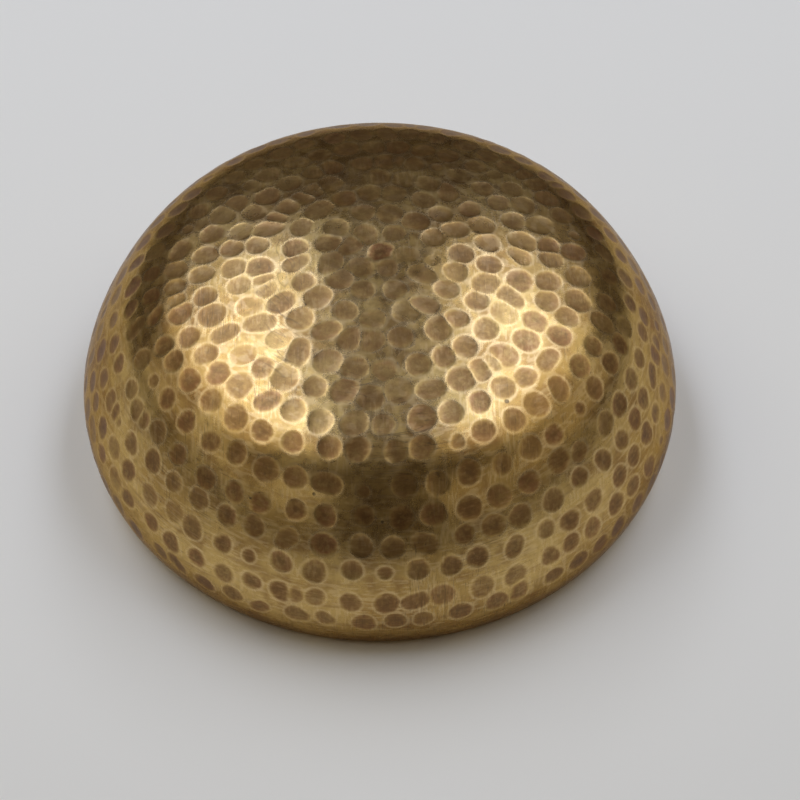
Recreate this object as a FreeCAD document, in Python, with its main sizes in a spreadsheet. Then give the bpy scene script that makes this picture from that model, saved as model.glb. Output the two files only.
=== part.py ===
# Hand-hammered singing bowl, a single raised bronze piece that stands on its lip, mouth down.
# Millimetres, +Z up, origin at the centre of the lip's resting plane.
import FreeCAD, Part
import math
import os

import Sketcher

# Driving sizes: alias, value in millimetres, what it measures.
SIZES = [
    ("belly_diameter", 220.0, "outside diameter at the widest circle"),
    ("height", 86.5, "lip plane to the flat of the foot"),
    ("belly_height", 20.5, "lip plane to the widest circle"),
    ("rim_tuck", 6.0, "how far the lip's outside stands inside the belly, each side"),
    ("flank_flattening", 4.0, "flank's outside radius less half the belly diameter"),
    ("heel_radius", 39.0, "outside radius of the turn from the flank to the crown"),
    ("crown_radius", 278.0, "outside radius of the shallow crown"),
    ("foot_diameter", 36.0, "flat in the middle of the crown, which the bowl stands on mouth up"),
    ("wall_thickness", 2.6, "sheet thickness, the same all over"),
    ("lip_round", 0.6, "radius on the inner and outer edges of the lip"),
]

SHEET_NAME = "Sizes"
ON_PLANE = 1e-6


def make_sheet(doc):
    """Write the driving sizes into the document's spreadsheet and return it."""
    sheet = doc.addObject("Spreadsheet::Sheet", SHEET_NAME)
    for row, (alias, value, meaning) in enumerate(SIZES, start=1):
        sheet.set(f"A{row}", alias)
        sheet.set(f"B{row}", str(value))
        sheet.set(f"C{row}", meaning)
        sheet.setAlias(f"B{row}", alias)
    doc.recompute()
    return sheet


class WallOutline:
    """Where the centres and joints of the wall's tangent arcs fall, worked out from the sheet."""

    def __init__(self, sheet):
        self.wall = sheet.wall_thickness
        self.foot = FreeCAD.Vector(sheet.foot_diameter / 2, sheet.height, 0)
        self.widest = FreeCAD.Vector(sheet.belly_diameter / 2, sheet.belly_height, 0)
        self.rim = FreeCAD.Vector(self.widest.x - sheet.rim_tuck, 0, 0)

        tuck, rise = sheet.rim_tuck, sheet.belly_height
        self.belly_radius = (tuck ** 2 + rise ** 2) / (2 * tuck)
        self.flank_radius = self.widest.x + sheet.flank_flattening
        self.heel_radius = sheet.heel_radius
        self.crown_radius = sheet.crown_radius

        self.belly = FreeCAD.Vector(self.widest.x - self.belly_radius, rise, 0)
        self.flank = self._on_axis_below(self.belly, self.flank_radius - self.belly_radius)
        self.crown = self._on_axis_below(self.foot, self.crown_radius)
        self.heel = self._heel_centre()

        self.crown_to_heel = self._touching(self.crown, self.heel, self.crown_radius)
        self.heel_to_flank = self._touching(self.flank, self.heel, self.flank_radius)
        self.flank_to_belly = self._touching(self.flank, self.belly, self.flank_radius)

    @staticmethod
    def _on_axis_below(point, distance):
        """The point on the bowl's axis that lies this far from a point, on its lower side."""
        return FreeCAD.Vector(0, point.y - math.sqrt(distance ** 2 - point.x ** 2), 0)

    @staticmethod
    def _touching(large, small, radius):
        """Where an arc of this radius about `large` touches one inside it about `small`."""
        return large + (small - large).normalize() * radius

    def _heel_centre(self):
        """The centre of the heel's arc, which touches the crown and the flank from inside."""
        to_crown = self.crown_radius - self.heel_radius
        to_flank = self.flank_radius - self.heel_radius
        apart = self.flank.y - self.crown.y
        up = (to_crown ** 2 - to_flank ** 2 - apart ** 2) / (2 * apart)
        return FreeCAD.Vector(math.sqrt(to_flank ** 2 - up ** 2), self.flank.y + up, 0)

    def arcs(self, inset):
        """The four arcs from the foot to the lip, moved in by `inset`: centre, radius, ends."""
        crown_radius = self.crown_radius - inset
        belly_radius = self.belly_radius - inset
        foot_rise = self.foot.y - inset - self.crown.y
        foot = FreeCAD.Vector(math.sqrt(crown_radius ** 2 - foot_rise ** 2), self.foot.y - inset, 0)
        rim = FreeCAD.Vector(self.belly.x + math.sqrt(belly_radius ** 2 - self.belly.y ** 2), 0, 0)
        joints = [foot]
        joints += [self._moved_in(self.crown_to_heel, self.heel, inset)]
        joints += [self._moved_in(self.heel_to_flank, self.heel, inset)]
        joints += [self._moved_in(self.flank_to_belly, self.belly, inset)]
        joints += [rim]
        centres = [self.crown, self.heel, self.flank, self.belly]
        radii = [crown_radius, self.heel_radius - inset, self.flank_radius - inset, belly_radius]
        return list(zip(centres, radii, joints[:-1], joints[1:]))

    @staticmethod
    def _moved_in(joint, centre, inset):
        """A joint between two arcs, moved towards their common normal's centre by `inset`."""
        return joint + (centre - joint).normalize() * inset


def origin_plane(body, role):
    """Find one of a body's own origin planes by its role."""
    return next(plane for plane in body.Origin.OriginFeatures if plane.Role == role)


def add_arc(sketch, centre, radius, start, end):
    """Add the arc that runs clockwise from `start` to `end`, and return its index.

    Sketcher stores arcs anticlockwise, so its point 2 is `start` and its point 1 is `end`.
    """
    first = math.atan2(end.y - centre.y, end.x - centre.x)
    last = math.atan2(start.y - centre.y, start.x - centre.x)
    circle = Part.Circle(centre, FreeCAD.Vector(0, 0, 1), radius)
    return sketch.addGeometry(Part.ArcOfCircle(circle, first, last), False)


def bind(sketch, constraint, name, expression):
    """Name a sketch constraint and tie its value to the sheet."""
    sketch.renameConstraint(constraint, name)
    sketch.setExpression(f"Constraints.{name}", expression.replace("@", SHEET_NAME + "."))


END, START, CENTRE = 1, 2, 3            # an arc's points, in the outline's direction
ORIGIN, AXIS_X, AXIS_Y = (-1, 1), -1, -2


def draw_wall(sketch, outline):
    """Draw the wall's section: foot, four outer arcs, lip, four inner arcs, and the axis."""
    outer = [add_arc(sketch, *arc) for arc in outline.arcs(0)]
    inner = [add_arc(sketch, *arc) for arc in outline.arcs(outline.wall)]
    outer_foot, inner_foot = outline.arcs(0)[0][2], outline.arcs(outline.wall)[0][2]
    inner_rim = outline.arcs(outline.wall)[-1][3]
    outer_pole = FreeCAD.Vector(0, outer_foot.y, 0)
    inner_pole = FreeCAD.Vector(0, inner_foot.y, 0)
    foot_line = sketch.addGeometry(Part.LineSegment(outer_pole, outer_foot), False)
    floor_line = sketch.addGeometry(Part.LineSegment(inner_pole, inner_foot), False)
    lip_line = sketch.addGeometry(Part.LineSegment(outline.rim, inner_rim), False)
    pole_line = sketch.addGeometry(Part.LineSegment(outer_pole, inner_pole), False)
    widest = sketch.addGeometry(Part.Point(outline.widest), True)

    def add(*parts):
        return sketch.addConstraint(Sketcher.Constraint(*parts))

    # The section closes on itself.
    add("Coincident", pole_line, 1, foot_line, 1)
    add("Coincident", pole_line, 2, floor_line, 1)
    add("Coincident", foot_line, 2, outer[0], START)
    add("Coincident", floor_line, 2, inner[0], START)
    add("Coincident", lip_line, 1, outer[-1], END)
    add("Coincident", lip_line, 2, inner[-1], END)
    for arcs in (outer, inner):
        for above, below in zip(arcs, arcs[1:]):
            add("Tangent", above, END, below, START)
    # The inside follows the outside: each inner arc shares its outer arc's centre.
    for outer_arc, inner_arc in zip(outer, inner):
        add("Coincident", inner_arc, CENTRE, outer_arc, CENTRE)

    add("PointOnObject", foot_line, 1, AXIS_Y)
    add("PointOnObject", floor_line, 1, AXIS_Y)
    add("Horizontal", foot_line)
    add("Horizontal", floor_line)
    crown, heel, flank, belly = outer
    add("PointOnObject", crown, CENTRE, AXIS_Y)
    add("PointOnObject", flank, CENTRE, AXIS_Y)
    add("PointOnObject", lip_line, 1, AXIS_X)
    add("PointOnObject", lip_line, 2, AXIS_X)
    add("PointOnObject", widest, 1, belly)
    add("Horizontal", widest, 1, belly, CENTRE)

    rim_x = add("DistanceX", *ORIGIN, lip_line, 1, outline.rim.x)
    bind(sketch, rim_x, "rim", "@belly_diameter / 2 - @rim_tuck")
    widest_x = add("DistanceX", *ORIGIN, widest, 1, outline.widest.x)
    bind(sketch, widest_x, "belly", "@belly_diameter / 2")
    widest_y = add("DistanceY", *ORIGIN, widest, 1, outline.widest.y)
    bind(sketch, widest_y, "belly_height", "@belly_height")
    foot_x = add("DistanceX", foot_line, 1, foot_line, 2, outline.foot.x)
    bind(sketch, foot_x, "foot", "@foot_diameter / 2")
    foot_y = add("DistanceY", *ORIGIN, foot_line, 1, outline.foot.y)
    bind(sketch, foot_y, "height", "@height")
    wall = add("DistanceY", pole_line, 2, pole_line, 1, outline.wall)
    bind(sketch, wall, "wall_at_foot", "@wall_thickness")
    bind(sketch, add("Radius", crown, outline.crown_radius), "crown", "@crown_radius")
    bind(sketch, add("Radius", heel, outline.heel_radius), "heel", "@heel_radius")
    flank_radius = add("Radius", flank, outline.flank_radius)
    bind(sketch, flank_radius, "flank", "@belly_diameter / 2 + @flank_flattening")
    inner_crown = add("Radius", inner[0], outline.crown_radius - outline.wall)
    bind(sketch, inner_crown, "wall_at_crown", "@crown_radius - @wall_thickness")


def make_bowl(doc, sheet):
    """Raise the bowl: the wall's section turned once round the axis, with its lip eased."""
    body = doc.addObject("PartDesign::Body", "bowl")
    body.Label = "bowl"
    body.Placement = FreeCAD.Placement()

    section = body.newObject("Sketcher::SketchObject", "wall_section")
    section.AttachmentSupport = [(origin_plane(body, "XZ_Plane"), "")]
    section.MapMode = "FlatFace"
    draw_wall(section, WallOutline(sheet))
    doc.recompute()

    shell = body.newObject("PartDesign::Revolution", "raised_wall")
    shell.Profile = section
    shell.ReferenceAxis = (section, ["V_Axis"])
    shell.Angle = 360.0
    section.Visibility = False
    doc.recompute()

    lip_edges = [
        f"Edge{number}"
        for number, edge in enumerate(shell.Shape.Edges, start=1)
        if edge.BoundBox.ZMax < ON_PLANE
    ]
    lip = body.newObject("PartDesign::Fillet", "eased_lip")
    lip.Base = (shell, lip_edges)
    lip.setExpression("Radius", f"{SHEET_NAME}.lip_round")
    body.Tip = lip
    doc.recompute()
    return body


def check(doc, pieces):
    """Stop if any object of the document failed, or a piece has no sound solid."""
    for item in doc.Objects:
        if "Invalid" in item.State or "Error" in item.State:
            raise RuntimeError(f"{item.Label} did not build: {item.State}")
    for piece in pieces:
        if piece.Shape.isNull() or not piece.Shape.isValid() or not piece.Shape.Solids:
            raise RuntimeError(f"{piece.Label} has no sound solid")


def main():
    os.makedirs("parts", exist_ok=True)
    doc = FreeCAD.newDocument("singing_bowl")
    sheet = make_sheet(doc)
    pieces = [make_bowl(doc, sheet)]
    doc.recompute()
    check(doc, pieces)
    for piece in pieces:
        box = piece.Shape.optimalBoundingBox()
        piece.Shape.exportStep(f"parts/{piece.Label}.step")
        print(f"{piece.Label}: {piece.Shape.Volume / 1000:.1f} cm3, "
              f"{box.XLength:.1f} x {box.YLength:.1f} x {box.ZLength:.1f} mm")


main()
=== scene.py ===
import logging
import math
import random
from dataclasses import dataclass, field, replace
from enum import Enum

import bmesh
import bpy
import numpy as np
from mathutils import Matrix, Vector, noise


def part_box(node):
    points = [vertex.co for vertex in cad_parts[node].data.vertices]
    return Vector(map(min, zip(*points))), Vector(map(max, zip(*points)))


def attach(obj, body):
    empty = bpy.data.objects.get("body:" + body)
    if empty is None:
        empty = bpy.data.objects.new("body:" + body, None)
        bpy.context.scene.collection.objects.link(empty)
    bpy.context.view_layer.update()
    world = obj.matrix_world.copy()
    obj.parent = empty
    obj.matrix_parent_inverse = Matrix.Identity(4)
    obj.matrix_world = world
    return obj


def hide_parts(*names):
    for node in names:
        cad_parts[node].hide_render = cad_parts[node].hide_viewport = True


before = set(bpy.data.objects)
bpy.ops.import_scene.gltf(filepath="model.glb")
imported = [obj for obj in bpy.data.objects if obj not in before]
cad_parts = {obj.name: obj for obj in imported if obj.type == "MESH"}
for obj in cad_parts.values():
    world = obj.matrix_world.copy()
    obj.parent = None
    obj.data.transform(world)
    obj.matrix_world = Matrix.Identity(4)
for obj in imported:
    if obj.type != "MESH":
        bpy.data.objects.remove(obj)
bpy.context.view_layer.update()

MM = 0.001
LAYERS = ("mark_edge", "wear", "tone", "inside")
TINY = 1e-9
FAR_FROM_MARK = 4.0  # in millimetres, as the mark_edge layer is
ON_EDGE = 0.05  # in millimetres
Points = np.ndarray
Colour = tuple[float, float, float]

log = logging.getLogger("singing_bowl")


class Blow(Enum):
    """How a blow of the hammer met the sheet."""

    SQUARE = "square"
    GLANCING = "glancing"
    LIGHT = "light"
    TWICE = "twice"


BLOW_SHARES = {Blow.SQUARE: 76, Blow.GLANCING: 15, Blow.LIGHT: 5, Blow.TWICE: 4}


@dataclass(frozen=True)
class Arc:
    """One round stretch of the wall's section.

    Attributes:
        centre: Distance from the axis and height of the arc's centre.
        radius: Its radius.
        first: Angle of the outward normal from straight up where it begins.
        last: The same where it ends.
    """

    centre: tuple[float, float]
    radius: float
    first: float
    last: float

    @property
    def length(self) -> float:
        """Length along the arc."""
        return self.radius * (self.last - self.first)


@dataclass(frozen=True)
class WallSection:
    """The bowl's section: tangent arcs from the pole to the lip.

    Attributes:
        half_width: Outside radius at the belly.
        height: Lip plane to the foot.
        belly_height: Lip plane to the widest circle.
        rim_tuck: How far the lip stands inside the belly.
        flank_flattening: Flank radius less the belly's half width.
        heel_radius: Outside radius between flank and crown.
        crown_radius: Outside radius of the crown.
        foot_radius: Radius of the flat in the middle of the crown.
        wall: Sheet thickness.
        lip_round: Radius on the lip's edges.
        skin_inset: How far the open metal lies inside the outline, to leave room for its ridges.
    """

    half_width: float
    height: float
    belly_height: float = 20.5 * MM
    rim_tuck: float = 6.0 * MM
    flank_flattening: float = 4.0 * MM
    heel_radius: float = 39.0 * MM
    crown_radius: float = 278.0 * MM
    foot_radius: float = 18.0 * MM
    wall: float = 2.6 * MM
    lip_round: float = 0.6 * MM
    skin_inset: float = 0.12 * MM

    def arcs(self) -> list[Arc]:
        """Work out the outside's crown, heel, flank and belly.

        Returns:
            The four arcs, from the pole outwards.
        """
        belly_radius = (self.rim_tuck**2 + self.belly_height**2) / (2 * self.rim_tuck)
        flank_radius = self.half_width + self.flank_flattening
        belly = (self.half_width - belly_radius, self.belly_height)
        flank_drop = math.sqrt((flank_radius - belly_radius) ** 2 - belly[0] ** 2)
        flank = (0.0, belly[1] - flank_drop)
        crown = (0.0, self.height - math.sqrt(self.crown_radius**2 - self.foot_radius**2))
        to_crown = self.crown_radius - self.heel_radius
        to_flank = flank_radius - self.heel_radius
        apart = flank[1] - crown[1]
        rise = (to_crown**2 - to_flank**2 - apart**2) / (2 * apart)
        heel = (math.sqrt(to_flank**2 - rise**2), flank[1] + rise)
        crown_end = math.atan2(heel[0], heel[1] - crown[1])
        heel_end = math.atan2(heel[0], heel[1] - flank[1])
        flank_end = math.atan2(belly[0], belly[1] - flank[1])
        lip_end = math.pi / 2 + math.asin(self.belly_height / belly_radius)
        return [
            Arc(crown, self.crown_radius, 0.0, crown_end),
            Arc(heel, self.heel_radius, crown_end, heel_end),
            Arc(flank, flank_radius, heel_end, flank_end),
            Arc(belly, belly_radius, flank_end, lip_end),
        ]

    @property
    def length(self) -> float:
        """Length of the outside from the pole to the lip plane."""
        return sum(arc.length for arc in self.arcs())

    def at(self, along: Points) -> tuple[Points, Points, Points]:
        """Follow the outside of the wall.

        Args:
            along: Lengths from the pole.

        Returns:
            Distance from the axis, height, and the normal's angle from straight up.
        """
        radius, height, tilt = np.zeros_like(along), np.zeros_like(along), np.zeros_like(along)
        start = 0.0
        for arc in self.arcs():
            here = along >= start
            angle = arc.first + (along[here] - start) / arc.radius
            radius[here] = arc.centre[0] + arc.radius * np.sin(angle)
            height[here] = arc.centre[1] + arc.radius * np.cos(angle)
            tilt[here] = angle
            start += arc.length
        return radius, np.minimum(height, self.height), tilt

    def along_belly(self, height: float, inset: float) -> float:
        """Find the length from the pole at which a skin below the belly has a given height.

        Args:
            height: The height above the lip plane.
            inset: Depth of the skin below the outside.

        Returns:
            The length, measured on the outside.
        """
        belly = self.arcs()[-1]
        angle = math.acos((height - belly.centre[1]) / (belly.radius - inset))
        return self.length - belly.radius * (belly.last - angle)

    def lip_rings(self, steps: int = 4) -> list[tuple[float, float]]:
        """Round the lip from the outside, over its flat, to the inside.

        Args:
            steps: Rings in each rounded edge.

        Returns:
            Distance from the axis and height of each ring.
        """
        belly = self.arcs()[-1]
        rings = []
        for side, inset in ((1, self.skin_inset), (-1, self.wall)):
            radius = belly.radius - inset
            corner = belly.centre[0] + math.sqrt(radius**2 - self.belly_height**2)
            wall_angle = math.pi / 2 + math.asin(self.belly_height / radius)
            turn = math.pi - wall_angle if side > 0 else wall_angle
            middle = corner - side * self.lip_round * math.tan(turn / 2)
            begin = wall_angle if side > 0 else math.pi
            for step in range(steps + 1):
                angle = begin + turn * step / steps
                rings.append((middle + self.lip_round * math.sin(angle),
                              self.lip_round * (1 + math.cos(angle))))
        return rings


@dataclass
class Skin:
    """Points spread over the wall, each by its length from the pole and its direction round it.

    Attributes:
        section: The wall's section.
        along: Length from the pole to each point, on the outside.
        outward: Unit direction of each point from the axis, in plan.
        inset: Depth of this skin below the outside.
        place: Each point's place.
        normal: The wall's outward normal there.
        down: Direction away from the pole, within the wall.
        across: Direction round the bowl, within the wall.
    """

    section: WallSection
    along: Points
    outward: Points
    inset: float = 0.0
    place: Points = field(init=False)
    normal: Points = field(init=False)
    down: Points = field(init=False)
    across: Points = field(init=False)

    def __post_init__(self) -> None:
        """Place the points."""
        self.lay()

    def lay(self) -> None:
        """Work out places and directions."""
        radius, height, tilt = self.section.at(self.along)
        sine, cosine = np.sin(tilt), np.cos(tilt)
        self.normal = np.column_stack([self.outward * sine[:, None], cosine])
        self.down = np.column_stack([self.outward * cosine[:, None], -sine])
        self.across = np.column_stack([-self.outward[:, 1], self.outward[:, 0], 0 * sine])
        outside = np.column_stack([self.outward * radius[:, None], height])
        self.place = outside - self.inset * self.normal

    def slide(self, shift: Points) -> None:
        """Move the points a little within the wall.

        Args:
            shift: Each point's move.
        """
        near_pole = 6.0 * MM
        moved = self.place[:, :2] + shift[:, :2]
        reach = np.linalg.norm(moved, axis=1)
        clear = reach > TINY
        self.outward[clear] = moved[clear] / reach[clear, None]
        further = self.along + np.sum(shift * self.down, axis=1)
        self.along = np.where(self.along < near_pole, reach, further)
        self.lay()


@dataclass(frozen=True)
class HammerMark:
    """One dished mark.

    Attributes:
        centre: Its middle, on the outside.
        across: Direction round the bowl there.
        down: Direction away from the pole there.
        half_width: Mean radius of its outline.
        waves: Fold, size and start of each wave in its outline.
        depth: Depth in its middle.
        tone: Hue of its patina, from brown at 0 to russet at 1.
        wear: How far the patina is rubbed off, from 0 to 1.
    """

    centre: Points
    across: Points
    down: Points
    half_width: float
    waves: tuple[tuple[int, float, float], ...]
    depth: float
    tone: float
    wear: float

    def outline(self, angle: Points) -> Points:
        """Radius of the outline in the directions given.

        Args:
            angle: Directions within the wall.

        Returns:
            The radius in each.
        """
        size = np.ones_like(angle)
        for fold, height, start in self.waves:
            size += height * np.cos(fold * (angle - start))
        return self.half_width * size


@dataclass(frozen=True)
class HammerWork:
    """The smith's rows of blows round the pole, with a hand's unevenness.

    Attributes:
        section: The wall that is struck.
        last_row: Length from the lip back to the outermost row.
        row_pitch: Distance between rows.
        step: Distance between blows along a row.
        half_width: Mean radius of a mark.
        depth: Mean depth of a mark.
        crowded_within: Length from the pole inside which the blows overlap.
        crowding_width: Length over which they come to overlap.
        step_scatter: Unevenness along a row, as a share of the step.
        row_scatter: Unevenness across a row.
        middle_place: Length from the pole and turn of the last blow, in the middle.
        middle_half_width: Mean radius of its mark.
        middle_depth: Depth of its mark.
        seed: Seed of the unevenness.
    """

    section: WallSection
    last_row: float = 22.0 * MM
    row_pitch: float = 10.45 * MM
    step: float = 11.4 * MM
    half_width: float = 4.25 * MM
    depth: float = 0.20 * MM
    crowded_within: float = 76.0 * MM
    crowding_width: float = 24.0 * MM
    step_scatter: float = 0.1
    row_scatter: float = 0.65 * MM
    middle_place: tuple[float, float] = (1.6 * MM, math.pi / 3)
    middle_half_width: float = 5.2 * MM
    middle_depth: float = 0.34 * MM
    seed: int = 11

    def crowding(self, along: float) -> float:
        """How crowded the blows are at a length from the pole, from 0 to 1."""
        return min(1.0, max(0.0, 0.5 + (self.crowded_within - along) / self.crowding_width))

    def rows(self) -> list[float]:
        """Lengths from the pole to each row, from the outermost in."""
        outermost = self.section.length - self.last_row
        return [outermost - number * self.row_pitch
                for number in range(int(outermost / self.row_pitch) + 1)]

    def marks(self) -> list[HammerMark]:
        """Strike every row, then the middle.

        Returns:
            All the marks.
        """
        hand = random.Random(self.seed)
        struck: list[HammerMark] = []
        for row in self.rows():
            reach = float(self.section.at(np.array([row]))[0][0])
            step = self.step * (1 - 0.15 * self.crowding(row))
            count = max(3, round(2 * math.pi * reach / step))
            drifts = [(hand.uniform(0.2, 0.7) * MM, hand.uniform(0, 2 * math.pi)) for _ in range(3)]
            start = hand.uniform(0, 2 * math.pi)
            for number in range(count):
                turn = start + 2 * math.pi * (number + hand.gauss(0, self.step_scatter)) / count
                drift = sum(size * math.sin((fold + 1) * turn + phase)
                            for fold, (size, phase) in enumerate(drifts))
                struck += self.blow(hand, abs(row + drift + hand.gauss(0, self.row_scatter)), turn)
        middle = self.mark(hand, *self.middle_place, self.middle_half_width, self.middle_depth, 0.05)
        struck.append(replace(middle, tone=1.0, wear=0.0))
        return struck

    def blow(self, hand: random.Random, along: float, turn: float) -> list[HammerMark]:
        """Land one blow, or two that overlap.

        Args:
            hand: Source of the unevenness.
            along: Length from the pole.
            turn: Angle round the axis.

        Returns:
            The mark or marks it leaves.
        """
        kind = hand.choices(list(BLOW_SHARES), weights=list(BLOW_SHARES.values()))[0]
        crowding = self.crowding(along)
        size = self.half_width * (1 + 0.15 * crowding) * hand.uniform(0.9, 1.1)
        depth = self.depth * (1 - 0.4 * crowding) * hand.uniform(0.75, 1.25)
        oval = hand.uniform(0.0, 0.07)
        if kind is Blow.LIGHT:
            size *= hand.uniform(0.5, 0.72)
            depth *= 0.55
        if kind is Blow.GLANCING:
            oval = hand.uniform(0.12, 0.22)
        marks = [self.mark(hand, along, turn, size, depth, oval)]
        if kind is Blow.TWICE:
            beside = turn + 1.25 * size / max(along, size)
            marks.append(self.mark(hand, along, beside, 0.85 * size, 0.8 * depth, oval))
        return marks

    def mark(self, hand: random.Random, along: float, turn: float, size: float, depth: float,
             oval: float) -> HammerMark:
        """Shape one mark.

        Args:
            hand: Source of the unevenness.
            along: Length from the pole.
            turn: Angle round the axis.
            size: Mean radius.
            depth: Depth in the middle.
            oval: How far the outline is from round.

        Returns:
            The mark.
        """
        spot = Skin(self.section, np.array([along]), np.array([[math.sin(turn), -math.cos(turn)]]))
        waves = (
            (2, oval, hand.uniform(0, math.pi)),
            (3, hand.uniform(0.0, 0.045), hand.uniform(0, math.pi)),
            (5, hand.uniform(0.0, 0.02), hand.uniform(0, math.pi)),
        )
        wear = 0.02 + 0.22 * self.crowding(along) + abs(hand.gauss(0, 0.17))
        return HammerMark(spot.place[0], spot.across[0], spot.down[0], size, waves, depth,
                          hand.random(), min(wear, 0.8))


@dataclass
class Relief:
    """What the hammering did at each point of a skin.

    Attributes:
        edge: Distance to the nearest outline, or ridge between two marks; negative inside a mark.
        to_edge: Move within the wall that brings the point onto that line.
        height: How far the surface moves along its normal.
        tone: Patina of the nearest mark.
        wear: How far the nearest mark's patina is rubbed off.
    """

    edge: Points
    to_edge: Points
    height: Points
    tone: Points
    wear: Points


@dataclass(frozen=True)
class Anvil:
    """Presses the marks into a skin.

    Attributes:
        marks: The marks.
        flatness: Power of a mark's dish: 2 is round, and more is flatter with steeper sides.
        ridge: Height of the metal that a blow throws up round its mark.
        ridge_width: How far that metal reaches.
        reach: How far from its centre a mark is felt.
    """

    marks: list[HammerMark]
    flatness: float = 2.6
    ridge: float = 0.03 * MM
    ridge_width: float = 0.9 * MM
    reach: float = 10.0 * MM

    def relief(self, skin: Skin) -> Relief:
        """Work out how the marks shape a skin.

        Args:
            skin: The points.

        Returns:
            The marks' effect at each point.
        """
        count = len(skin.along)
        first, second = np.full(count, self.reach), np.full(count, 2 * self.reach)
        away, second_away = np.zeros((count, 3)), np.zeros((count, 3))
        owner = np.zeros(count, dtype=int)
        for number, mark in enumerate(self.marks):
            offset = skin.place - mark.centre
            near = np.nonzero(np.einsum("ij,ij->i", offset, offset) < self.reach**2)[0]
            side, fall = offset[near] @ mark.across, offset[near] @ mark.down
            out = np.hypot(side, fall)
            gap = out - mark.outline(np.arctan2(fall, side))
            direction = np.outer(side, mark.across) + np.outer(fall, mark.down)
            direction /= np.maximum(out, TINY)[:, None]
            wins = gap < first[near]
            won, lost = near[wins], near[~wins]
            second[won], second_away[won] = first[won], away[won]
            first[won], away[won], owner[won] = gap[wins], direction[wins], number
            nearer = gap[~wins] < second[lost]
            second[lost[nearer]] = gap[~wins][nearer]
            second_away[lost[nearer]] = direction[~wins][nearer]
        between = (first - second) / 2
        shared = between > first
        slope = np.where(shared[:, None], (away - second_away) / 2, away)
        steepness = np.maximum(np.einsum("ij,ij->i", slope, slope), 0.05)
        edge = np.where(shared, between, first)
        depth = np.array([mark.depth for mark in self.marks])[owner]
        half_width = np.array([mark.half_width for mark in self.marks])[owner]
        rise = np.clip(1 + edge / half_width, 0, 1) ** self.flatness
        thrown_up = self.ridge * np.exp(-((edge / self.ridge_width) ** 2))
        return Relief(edge, -slope * (edge / steepness)[:, None], depth * (rise - 1) + thrown_up,
                      np.array([mark.tone for mark in self.marks])[owner],
                      np.array([mark.wear for mark in self.marks])[owner])

    def snap(self, skin: Skin, within: float) -> None:
        """Pull the points beside an edge onto it, so that the edge is clean.

        Args:
            skin: The points.
            within: How far a point may be pulled.
        """
        relief = self.relief(skin)
        size = np.linalg.norm(relief.to_edge, axis=1)
        skin.slide(np.where((size < within)[:, None], relief.to_edge, 0.0))


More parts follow.
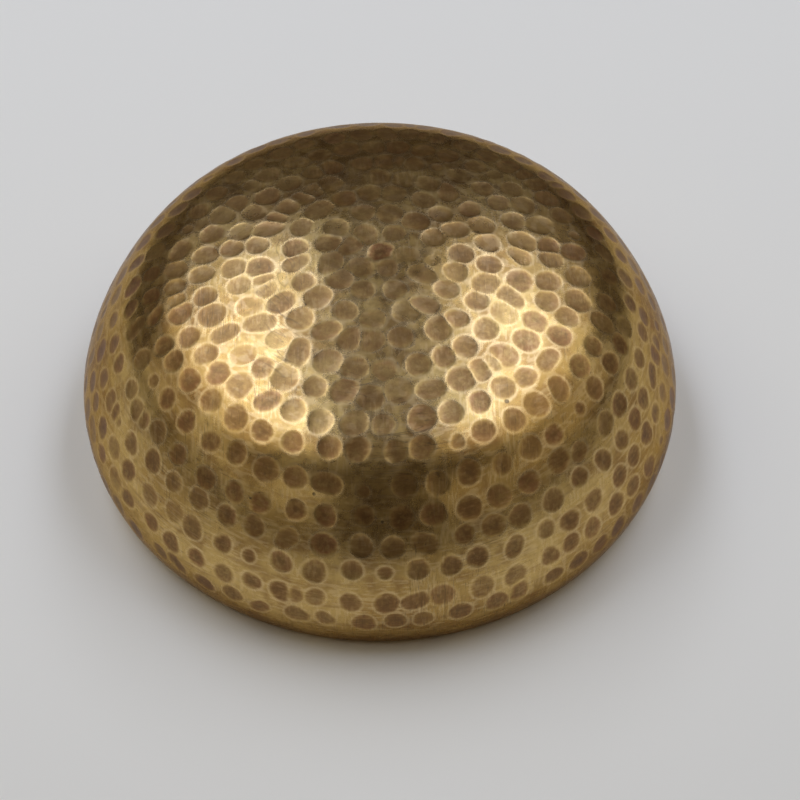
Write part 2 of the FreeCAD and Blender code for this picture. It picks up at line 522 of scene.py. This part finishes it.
@dataclass
class Bowl:
    """The whole bowl: hammered outside, eased lip and burnished inside, as one closed wall.

    Attributes:
        section: The wall's section.
        outer_cuts: Squares along a side of the blank for the outside, an even number.
        inner_cuts: The same for the inside.
        swelling: How far a mark shows through on the inside.
        wave: Height of the sheet's own long waves.
        wave_scale: How closely they follow each other.
        settle_within: Length from the lip over which they die away.
        pulls: How far corners are pulled onto edges each time, in faces.
        tightest: Smallest turn that a face may keep at a corner, in face areas.
        let_go_rounds: How often tight faces are looked for.
    """

    section: WallSection
    outer_cuts: int = 156
    inner_cuts: int = 72
    swelling: float = 0.12 * MM
    wave: float = 0.12 * MM
    wave_scale: float = 45.0
    settle_within: float = 12.0 * MM
    pulls: tuple[float, ...] = (0.45, 0.15)
    tightest: float = 0.12
    let_go_rounds: int = 6

    def half_ball(self, wall: bmesh.types.BMesh, cuts: int,
                  inside: float) -> list[bmesh.types.BMVert]:
        """Add the upper half of a ball, made from a cube so that its squares are alike.

        Args:
            wall: The mesh to add it to.
            cuts: Squares along each side of the cube.
            inside: What its corners say in the layer of that name.

        Returns:
            Its corners, on a ball of unit radius.
        """
        layer = wall.verts.layers.float["inside"]
        cube = bmesh.ops.create_cube(wall, size=2.0)["verts"]
        for corner in cube:
            corner[layer] = inside
        sides = list(dict.fromkeys(edge for corner in cube for edge in corner.link_edges))
        bmesh.ops.subdivide_edges(wall, edges=sides, cuts=cuts - 1, use_grid_fill=True)
        corners = [corner for corner in wall.verts if abs(corner[layer] - inside) < 0.1]
        lower = [corner for corner in corners if corner.co.z < -0.5 / cuts]
        bmesh.ops.delete(wall, geom=lower, context="VERTS")
        upper = [corner for corner in wall.verts if abs(corner[layer] - inside) < 0.1]
        for corner in upper:
            even = Vector(math.tan(math.pi / 4 * value) for value in corner.co)
            corner.co = even.normalized()
        return upper

    def skin(self, corners: list[bmesh.types.BMVert], length: float, inset: float) -> Skin:
        """Spread a half ball's corners over the wall.

        Args:
            corners: The corners.
            length: Length from the pole at which its open edge lies.
            inset: Depth below the outside.

        Returns:
            The skin.
        """
        unit = np.array([corner.co for corner in corners])
        plan = np.linalg.norm(unit[:, :2], axis=1)
        outward = np.tile([1.0, 0.0], (len(unit), 1))
        off_axis = plan > TINY
        outward[off_axis] = unit[off_axis, :2] / plan[off_axis, None]
        along = np.arctan2(plan, unit[:, 2]) / (math.pi / 2) * length
        return Skin(self.section, along, outward, inset)

    def sharpen(self, wall: bmesh.types.BMesh, skin: Skin, anvil: Anvil, cell: float) -> None:
        """Pull corners onto the edges of the marks, and let go of any that would fold a face.

        Args:
            wall: The mesh, with the outside alone.
            skin: The outside's points.
            anvil: What presses the marks.
            cell: Size of a face.
        """
        wall.verts.index_update()
        faces = np.array([[corner.index for corner in face.verts] for face in wall.faces])
        along, outward = skin.along.copy(), skin.outward.copy()
        for share in self.pulls:
            anvil.snap(skin, share * cell)
        for _ in range(self.let_go_rounds):
            place, normal = skin.place[faces], skin.normal[faces[:, 0]]
            turns = np.cross(np.roll(place, -1, axis=1) - place, np.roll(place, 1, axis=1) - place)
            tight = np.einsum("fcx,fx->fc", turns, normal).min(axis=1) < self.tightest * cell**2
            loose = np.unique(faces[tight])
            skin.along[loose], skin.outward[loose] = along[loose], outward[loose]
            skin.lay()

    def outside(self, wall: bmesh.types.BMesh, anvil: Anvil) -> None:
        """Raise and hammer the outside.

        Args:
            wall: The mesh to add it to.
            anvil: What presses the marks.
        """
        corners = self.half_ball(wall, self.outer_cuts, 0.0)
        length = self.section.along_belly(self.section.lip_rings()[0][1], self.section.skin_inset)
        skin = self.skin(corners, length, self.section.skin_inset)
        cell = length / self.outer_cuts
        self.sharpen(wall, skin, anvil, cell)
        relief = anvil.relief(skin)
        wave = np.array([noise.noise(Vector(place) * self.wave_scale) for place in skin.place])
        settle = np.clip((length - skin.along) / self.settle_within, 0, 1)
        moved = relief.height + self.wave * settle * (np.clip(wave, -1, 1) - 1)
        layer = {name: wall.verts.layers.float[name] for name in LAYERS}
        on_edge = set()
        rows = zip(corners, skin.place + moved[:, None] * skin.normal, relief.edge / MM, relief.wear,
                   relief.tone)
        for corner, place, edge, wear, tone in rows:
            corner.co = place
            corner[layer["mark_edge"]] = min(edge, FAR_FROM_MARK)
            corner[layer["wear"]] = wear
            corner[layer["tone"]] = tone
            if abs(edge) < ON_EDGE:
                on_edge.add(corner)
        for face in list(wall.faces):
            first, second, third, fourth = face.verts
            if first in on_edge and third in on_edge:
                bmesh.utils.face_split(face, first, third)
            elif second in on_edge and fourth in on_edge:
                bmesh.utils.face_split(face, second, fourth)

    def inside(self, wall: bmesh.types.BMesh, anvil: Anvil) -> None:
        """Raise the inside, where the marks show as soft swellings.

        Args:
            wall: The mesh to add it to.
            anvil: What presses the marks.
        """
        corners = self.half_ball(wall, self.inner_cuts, 1.0)
        length = self.section.along_belly(self.section.lip_rings()[-1][1], self.section.wall)
        skin = self.skin(corners, length, self.section.wall)
        relief = anvil.relief(skin)
        swell = self.swelling * np.clip(0.3 - relief.edge / (3 * MM), 0, 1)
        for corner, place in zip(corners, skin.place - swell[:, None] * skin.normal):
            corner.co = place
            corner[wall.verts.layers.float["mark_edge"]] = FAR_FROM_MARK
        inner_faces = list(dict.fromkeys(face for corner in corners for face in corner.link_faces))
        bmesh.ops.reverse_faces(wall, faces=inner_faces)

    def lip(self, wall: bmesh.types.BMesh) -> None:
        """Carry the outside round the lip and join it to the inside.

        Args:
            wall: The mesh with both skins.
        """
        shown = wall.verts.layers.float["inside"]
        open_edges = [edge for edge in wall.edges if edge.is_boundary]
        inner = [edge for edge in open_edges if edge.verts[0][shown] > 0.5]
        outer = [edge for edge in open_edges if edge.verts[0][shown] < 0.5]
        for radius, height in self.section.lip_rings()[1:-1]:
            grown = bmesh.ops.extrude_edge_only(wall, edges=outer)["geom"]
            outer = [item for item in grown if isinstance(item, bmesh.types.BMEdge)]
            for corner in (item for item in grown if isinstance(item, bmesh.types.BMVert)):
                out = corner.co.xy.normalized()
                corner.co = (out.x * radius, out.y * radius, height)
                corner[wall.verts.layers.float["mark_edge"]] = FAR_FROM_MARK
        outer = [edge for edge in outer if edge.is_boundary]
        bmesh.ops.bridge_loops(wall, edges=outer + inner)

    def put_in_order(self, wall: bmesh.types.BMesh) -> None:
        """Order the mesh by place, since extruding adds what it makes in no fixed order.

        Args:
            wall: The whole mesh.
        """
        for items, place in ((wall.verts, lambda corner: corner.co[:]),
                             (wall.edges, lambda edge: (edge.verts[0].co + edge.verts[1].co)[:]),
                             (wall.faces, lambda face: face.calc_center_median()[:])):
            for number, item in enumerate(sorted(items, key=place)):
                item.index = number
            items.sort()

    def build(self, anvil: Anvil) -> bpy.types.Object:
        """Make the wall's mesh and its object.

        Args:
            anvil: What presses the marks.

        Returns:
            The finished piece, not yet dressed.
        """
        wall = bmesh.new()
        for name in LAYERS:
            wall.verts.layers.float.new(name)
        self.outside(wall, anvil)
        self.inside(wall, anvil)
        self.lip(wall)
        self.put_in_order(wall)
        for face in wall.faces:
            face.smooth = True
        shape = bpy.data.meshes.new("hammered_bowl")
        wall.to_mesh(shape)
        wall.free()
        piece = bpy.data.objects.new("hammered_bowl", shape)
        bpy.context.scene.collection.objects.link(piece)
        return piece


class NodeBench:
    """Lays out one material's nodes."""

    def __init__(self, name: str) -> None:
        """Start an empty node material.

        Args:
            name: The material's name.
        """
        self.material = bpy.data.materials.new(name)
        self.material.use_nodes = True
        self.tree = self.material.node_tree
        self.tree.nodes.clear()

    def node(self, kind: str, inputs: dict | None = None, **settings: object) -> bpy.types.Node:
        """Add a node.

        Args:
            kind: Its type, without the ShaderNode prefix.
            inputs: Values or sockets for its inputs, by name or number.
            **settings: Its own properties.

        Returns:
            The node.
        """
        made = self.tree.nodes.new("ShaderNode" + kind)
        for key, value in settings.items():
            setattr(made, key, value)
        for key, value in (inputs or {}).items():
            if isinstance(value, bpy.types.NodeSocket):
                self.tree.links.new(value, made.inputs[key])
            else:
                made.inputs[key].default_value = value
        return made

    def attribute(self, name: str) -> bpy.types.NodeSocket:
        """Read one of the piece's own float layers."""
        return self.node("Attribute", attribute_name=name).outputs["Fac"]

    def calc(self, operation: str, first: object, second: object = 0.0) -> bpy.types.NodeSocket:
        """Work out one sum."""
        return self.node("Math", {0: first, 1: second}, operation=operation).outputs[0]

    def span(self, value: object, low: float, high: float, to_low: float = 0.0,
             to_high: float = 1.0) -> bpy.types.NodeSocket:
        """Map a value smoothly from one range to another, and hold it there.

        Args:
            value: The socket to read.
            low: Value that gives to_low.
            high: Value that gives to_high.
            to_low: First result.
            to_high: Last result.

        Returns:
            The mapped value.
        """
        inputs = {"Value": value, "From Min": low, "From Max": high, "To Min": to_low, "To Max": to_high}
        return self.node("MapRange", inputs, interpolation_type="SMOOTHSTEP").outputs["Result"]

    def blend(self, factor: object, first: object, second: object,
              mode: str = "MIX") -> bpy.types.NodeSocket:
        """Mix two colours.

        Args:
            factor: Share of the second.
            first: Colour or socket.
            second: Colour or socket.
            mode: How they mix.

        Returns:
            The mixed colour.
        """
        inputs = {"Factor": factor, 6: self.opaque(first), 7: self.opaque(second)}
        return self.node("Mix", inputs, data_type="RGBA", blend_type=mode).outputs[2]

    @staticmethod
    def opaque(colour: object) -> object:
        """Give a plain colour its alpha, and leave a socket alone."""
        return colour if isinstance(colour, bpy.types.NodeSocket) else (*colour, 1.0)

    def noise(self, place: object, scale: float, detail: float = 2.0,
              roughness: float = 0.5) -> bpy.types.NodeSocket:
        """Read a cloudy pattern, from 0 to 1."""
        inputs = {"Vector": place, "Scale": scale, "Detail": detail, "Roughness": roughness}
        return self.node("TexNoise", inputs).outputs["Fac"]

    def stretched(self, place: object, scale: tuple[float, float, float],
                  turn: tuple[float, float, float] = (0.0, 0.0, 0.0)) -> bpy.types.NodeSocket:
        """Turn and stretch the place that a pattern reads."""
        return self.node("Mapping", {"Vector": place, "Scale": scale, "Rotation": turn}).outputs[0]


class Weathering:
    """Patterns that the bronze's colour, gloss and relief share, each kept as a socket."""

    def __init__(self, bench: NodeBench) -> None:
        """Lay out the patterns.

        Args:
            bench: Where the nodes are laid.
        """
        place = bench.node("TexCoord").outputs["Object"]
        self.edge = bench.attribute("mark_edge")
        self.tone = bench.attribute("tone")
        self.inside = bench.attribute("inside")
        self.clouds = bench.noise(place, 30.0, 3.0)
        self.smudges = bench.noise(place, 85.0, 4.0, 0.6)
        self.mottle = bench.noise(place, 210.0, 4.0, 0.6)
        self.speckle = bench.noise(place, 620.0, 3.0, 0.65)
        self.grain = bench.noise(place, 1500.0, 2.0)
        level = bench.stretched(place, (22.0, 22.0, 240.0), (0.12, -0.1, 0.0))
        self.smear = bench.noise(level, 1.0, 3.0, 0.6)
        self.scratch = self.draw_scratches(bench, place)
        self.strokes = self.draw_strokes(bench, place)

        self.ragged = bench.calc("ADD", self.edge, bench.span(self.mottle, 0.3, 0.7, -0.38, 0.38))
        in_mark = bench.span(self.ragged, -1.5, 0.4, 1.0, 0.0)
        left = bench.calc("MULTIPLY", bench.calc("SUBTRACT", 1.0, bench.attribute("wear")),
                          bench.span(self.speckle, 0.3, 0.6, 0.72, 1.0))
        self.patina = bench.calc("MULTIPLY", in_mark, left)
        self.deep = bench.calc("MULTIPLY", bench.span(self.ragged, -3.4, -0.9, 1.0, 0.0),
                               bench.span(self.mottle, 0.38, 0.62, 0.35, 0.9))
        # Pale ring round each mark's outline: partly burnished metal, partly a painted highlight where the
        # rim catches the light.
        ring = bench.calc("ABSOLUTE", bench.calc("SUBTRACT", self.edge, 0.15))
        self.burnish_and_rim_highlight = bench.calc("MULTIPLY", bench.span(ring, 0.0, 0.85, 0.36, 0.0),
                                 bench.span(self.smudges, 0.35, 0.6, 0.25, 1.0))

        spots = bench.node("TexVoronoi", {"Vector": place, "Scale": 95.0})
        chosen = bench.span(bench.node("SeparateColor", {0: spots.outputs["Color"]}).outputs[0],
                            0.9, 0.92)
        hole = bench.span(spots.outputs["Distance"], 0.05, 0.09, 1.0, 0.0)
        self.pits = bench.calc("MULTIPLY", hole, chosen)

    @staticmethod
    def draw_scratches(bench: NodeBench, place: object) -> bpy.types.NodeSocket:
        """Draw fine scratches in three directions, in patches.

        Args:
            bench: Where the nodes are laid.
            place: The coordinates to read.

        Returns:
            1 in a scratch and 0 off it.
        """
        sets = (
            ((60.0, 60.0, 2600.0), (0.0, 0.0, 0.0), 21.0),
            ((2400.0, 70.0, 70.0), (0.0, 0.0, 0.7), 33.0),
            ((2000.0, 90.0, 90.0), (0.3, 0.0, -0.9), 27.0),
        )
        total = 0.0
        for scale, turn, patch_scale in sets:
            line = bench.noise(bench.stretched(place, scale, turn), 1.0, 0.0)
            off_centre = bench.calc("ABSOLUTE", bench.calc("SUBTRACT", line, 0.5))
            thin = bench.span(off_centre, 0.0, 0.03, 1.0, 0.0)
            patch = bench.span(bench.noise(place, patch_scale, 2.0), 0.52, 0.66)
            total = bench.calc("MAXIMUM", bench.calc("MULTIPLY", thin, patch), total)
        return total

    @staticmethod
    def draw_strokes(bench: NodeBench, place: object) -> bpy.types.NodeSocket:
        """Draw short soft strokes whose direction wanders over the bowl.

        Args:
            bench: Where the nodes are laid.
            place: The coordinates to read.

        Returns:
            The strokes, from 0 to 1.
        """
        long_way = bench.noise(bench.stretched(place, (1150.0, 210.0, 210.0), (0.5, 0.7, 0.8)), 1.0, 2.0)
        other_way = bench.noise(bench.stretched(place, (210.0, 210.0, 1150.0), (0.3, -0.2, 0.0)), 1.0, 2.0)
        return bench.node("Mix", {"Factor": bench.span(bench.noise(place, 60.0, 1.0), 0.38, 0.52),
                                  2: long_way, 3: other_way}).outputs[0]


@dataclass(frozen=True)
class HammeredBronze:
    """Golden bronze with brown patina in its hammer marks, and a pale ring round each mark's rim that is
    partly rubbed metal and partly a painted highlight.

    Attributes:
        gold: The open metal between marks.
        olive: Where it has dulled.
        brown: Patina in a mark.
        russet: Redder patina in some marks.
        umber: Darker patina in the middle of a mark.
        bright: Pale metal, for strokes on the open metal and for the rim rings, which are partly rubbed
            metal and partly painted highlight.
        pit: Dark pits.
        inner: The inside.
    """

    gold: Colour = (0.60, 0.408, 0.135)
    olive: Colour = (0.44, 0.272, 0.074)
    brown: Colour = (0.230, 0.111, 0.030)
    russet: Colour = (0.250, 0.104, 0.033)
    umber: Colour = (0.125, 0.058, 0.015)
    bright: Colour = (0.80, 0.595, 0.30)
    pit: Colour = (0.05, 0.035, 0.02)
    inner: Colour = (0.42, 0.28, 0.13)

    def colour(self, bench: NodeBench, worn: Weathering) -> bpy.types.NodeSocket:
        """Mix the metal, its patina, its wear, its marks of use and the painted highlight on the marks'
        rims.

        Args:
            bench: Where the nodes are laid.
            worn: The patterns.

        Returns:
            The colour.
        """
        land = bench.blend(bench.span(worn.clouds, 0.38, 0.62), self.gold, self.olive)
        land = bench.blend(bench.span(worn.smudges, 0.45, 0.68, 0.0, 0.6), land, self.brown)
        land = bench.blend(bench.span(worn.speckle, 0.45, 0.7, 0.0, 0.2), land, self.brown)
        land = bench.blend(bench.span(worn.strokes, 0.48, 0.62, 0.0, 0.30), land, self.bright)
        dark = bench.blend(bench.span(worn.tone, 0.55, 0.95), self.brown, self.russet)
        dark = bench.blend(bench.span(worn.mottle, 0.45, 0.65, 0.0, 0.18), dark, self.olive)
        dark = bench.blend(worn.deep, dark, self.umber)
        dark = bench.blend(bench.span(worn.strokes, 0.43, 0.56, 0.40, 0.0), dark, self.umber)
        colour = bench.blend(worn.patina, land, dark)
        colour = bench.blend(bench.span(worn.smear, 0.5, 0.68, 0.0, 0.4), colour, self.brown)
        # Painted highlight, partly burnished metal: the pale ring round each mark's rim.
        colour = bench.blend(worn.burnish_and_rim_highlight, colour, self.bright)
        colour = bench.blend(bench.calc("MULTIPLY", worn.scratch, 0.5), colour, self.pit)
        colour = bench.blend(bench.calc("MULTIPLY", worn.pits, 0.7), colour, self.pit)
        colour = bench.blend(bench.calc("MULTIPLY", worn.inside, 0.85), colour, self.inner)
        return colour

    def gloss(self, bench: NodeBench, worn: Weathering) -> bpy.types.NodeSocket:
        """Make patina duller than the open metal, and ridges shinier.

        Args:
            bench: Where the nodes are laid.
            worn: The patterns.

        Returns:
            The roughness.
        """
        rough = bench.span(worn.patina, 0.0, 1.0, 0.28, 0.35)
        rough = bench.calc("ADD", rough, bench.span(worn.mottle, 0.3, 0.7, -0.04, 0.05))
        rough = bench.calc("SUBTRACT", rough, bench.calc("MULTIPLY", worn.burnish_and_rim_highlight, 0.06))
        return rough

    def relief(self, bench: NodeBench, worn: Weathering) -> bpy.types.NodeSocket:
        """Raise the edges of marks and press in scratches and pits.

        Args:
            bench: Where the nodes are laid.
            worn: The patterns.

        Returns:
            The height, in millimetres.
        """
        rim_step = bench.span(worn.edge, -0.9, 0.1, -0.02, 0.0)
        height = bench.calc("ADD", rim_step, bench.calc("MULTIPLY", worn.smudges, 0.035))
        height = bench.calc("ADD", height, bench.calc("MULTIPLY", worn.mottle, 0.005))
        height = bench.calc("ADD", height, bench.calc("MULTIPLY", worn.grain, 0.0008))
        height = bench.calc("SUBTRACT", height, bench.calc("MULTIPLY", worn.scratch, 0.004))
        height = bench.calc("SUBTRACT", height, bench.calc("MULTIPLY", worn.pits, 0.05))
        return height

    def make(self) -> bpy.types.Material:
        """Lay out the finish.

        Returns:
            The material.
        """
        bench = NodeBench("hammered_bronze")
        worn = Weathering(bench)
        bump = bench.node("Bump", {"Strength": 1.0, "Distance": MM, "Height": self.relief(bench, worn)})
        metal = bench.node("BsdfPrincipled", {
            "Base Color": self.colour(bench, worn), "Metallic": bench.span(worn.patina, 0.0, 1.0, 1.0, 0.85),
            "Roughness": self.gloss(bench, worn), "Normal": bump.outputs[0], "Coat Weight": 0.4,
            "Coat Roughness": 0.3, "Coat Normal": bump.outputs[0],
            "Specular Tint": (0.5, 0.36, 0.22, 1.0)})
        bench.node("OutputMaterial", {"Surface": metal.outputs[0]})
        return bench.material


@dataclass(frozen=True)
class Cloth:
    """The pale floor's matt finish.

    Attributes:
        pale: Its colour.
    """

    pale: Colour = (0.875, 0.862, 0.79)

    def make(self) -> bpy.types.Material:
        """Lay out the finish.

        Returns:
            The material.
        """
        bench = NodeBench("pale_floor")
        matt = bench.node("BsdfPrincipled", {"Base Color": (*self.pale, 1.0), "Roughness": 0.9,
                                             "Specular IOR Level": 0.2})
        bench.node("OutputMaterial", {"Surface": matt.outputs[0]})
        return bench.material


@dataclass(frozen=True)
class SoftBox:
    """One flat soft light.

    Attributes:
        name: What it is called.
        place: Where its middle is.
        size: Its two sides.
        face: Point that it faces.
        brightness: Brightness of its face.
        tint: Its colour.
    """

    name: str
    place: tuple[float, float, float]
    size: tuple[float, float]
    face: tuple[float, float, float]
    brightness: float
    tint: Colour

    def hang(self, on_floor: bool = True) -> None:
        """Hang the light and turn it.

        Args:
            on_floor: Whether it lights the floor as well as showing in the bronze.
        """
        lamp = bpy.data.lights.new(self.name, "AREA")
        lamp.shape = "RECTANGLE"
        lamp.color = self.tint
        lamp.size, lamp.size_y = self.size
        lamp.energy = self.brightness * math.pi * self.size[0] * self.size[1]
        holder = bpy.data.objects.new(self.name, lamp)
        holder.location = self.place
        holder.visible_diffuse = on_floor
        toward = Vector(self.face) - Vector(self.place)
        holder.rotation_euler = toward.to_track_quat("-Z", "Y").to_euler()
        bpy.context.scene.collection.objects.link(holder)


@dataclass(frozen=True)
class Studio:
    """A pale floor, two overhead soft boxes with a dark gap between them, and the camera.

    Attributes:
        elevation: The camera's angle above the floor.
        distance: From the camera to the bowl's middle.
        middle_height: Height of that middle.
        aim: The point the camera looks at.
        roll: The camera's turn about its own axis.
        lens: Focal length in millimetres on a 36 mm wide sensor.
        room: Brightness of the room.
        room_tint: Its colour.
        cool: Colour of the two bright strips.
        warm: Colour of the rest.
    """

    elevation: float = math.radians(48.17)
    distance: float = 660.0 * MM
    middle_height: float = 33.0 * MM
    aim: tuple[float, float, float] = (7.2 * MM, -13.0 * MM, 21.4 * MM)
    roll: float = math.radians(0.3)
    lens: float = 80.55
    room: float = 0.058
    room_tint: Colour = (1.0, 0.78, 0.6)
    cool: Colour = (0.94, 1.03, 1.30)
    warm: Colour = (1.0, 0.955, 0.85)

    def floor(self) -> None:
        """Lay the floor, under the lip."""
        sheet = bmesh.new()
        bmesh.ops.create_grid(sheet, x_segments=1, y_segments=1, size=6.0)
        shape = bpy.data.meshes.new("floor")
        sheet.to_mesh(shape)
        sheet.free()
        ground = bpy.data.objects.new("floor", shape)
        shape.materials.append(Cloth().make())
        bpy.context.scene.collection.objects.link(ground)

    def lights(self) -> None:
        """Light the room softly and hang the soft boxes."""
        world = bpy.data.worlds.new("room")
        world.use_nodes = True
        world.node_tree.nodes["Background"].inputs["Color"].default_value = (*self.room_tint, 1.0)
        world.node_tree.nodes["Background"].inputs["Strength"].default_value = self.room
        bpy.context.scene.world = world
        for side, hand, power in (("left", -1, 1.05), ("right", 1, 0.96)):
            SoftBox(f"{side}_strip", (0.53 * hand, 0.58, 1.3), (0.42, 1.6), (0.53 * hand, 0.58, 0.0),
                    2.95 * power, self.cool).hang()
            SoftBox(f"{side}_sky", (0.93 * hand, 0.2, 1.3), (1.14, 1.7), (0.93 * hand, 0.2, 0.0),
                    1.12 * power, self.warm).hang()
            SoftBox(f"{side}_wall", (1.75 * hand, -0.45, 0.8), (2.1, 0.9), (0.0, -0.45, 0.8),
                    0.50 * power, self.warm).hang(on_floor=False)
            SoftBox(f"{side}_corner", (1.1 * hand, -1.7, 0.85), (0.9, 1.0), (0.0, 0.0, 0.3),
                    0.46 * power, self.warm).hang(on_floor=False)

    def camera(self) -> None:
        """Set the camera."""
        lens = bpy.data.cameras.new("camera")
        lens.lens = self.lens
        lens.sensor_width = 36.0
        lens.clip_start = 0.01
        holder = bpy.data.objects.new("camera", lens)
        back = Vector((0.0, -math.cos(self.elevation), math.sin(self.elevation)))
        eye = Vector((0.0, 0.0, self.middle_height)) + self.distance * back
        look = (Vector(self.aim) - eye).to_track_quat("-Z", "Y").to_matrix()
        turn = look @ Matrix.Rotation(-self.roll, 3, "Z")
        holder.matrix_world = Matrix.Translation(eye) @ turn.to_4x4()
        bpy.context.scene.collection.objects.link(holder)
        bpy.context.scene.camera = holder
        bpy.context.scene.view_settings.view_transform = "Standard"


def main() -> None:
    """Build the bowl and the studio in order."""
    logging.basicConfig(level=logging.INFO, format="%(name)s: %(message)s")
    low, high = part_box("bowl")
    section = WallSection(half_width=high.x, height=high.z - low.z)
    work = HammerWork(section)
    marks = work.marks()
    log.info("%d hammer marks in %d rows", len(marks), len(work.rows()))
    piece = Bowl(section).build(Anvil(marks))
    piece.data.materials.append(HammeredBronze().make())
    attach(piece, "root")
    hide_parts("bowl")
    triangles = sum(len(face.vertices) - 2 for face in piece.data.polygons)
    log.info("%s: %d triangles", piece.name, triangles)
    studio = Studio()
    studio.floor()
    studio.lights()
    studio.camera()
    log.info("studio: floor, lights and camera")


if __name__ == "__main__":
    main()
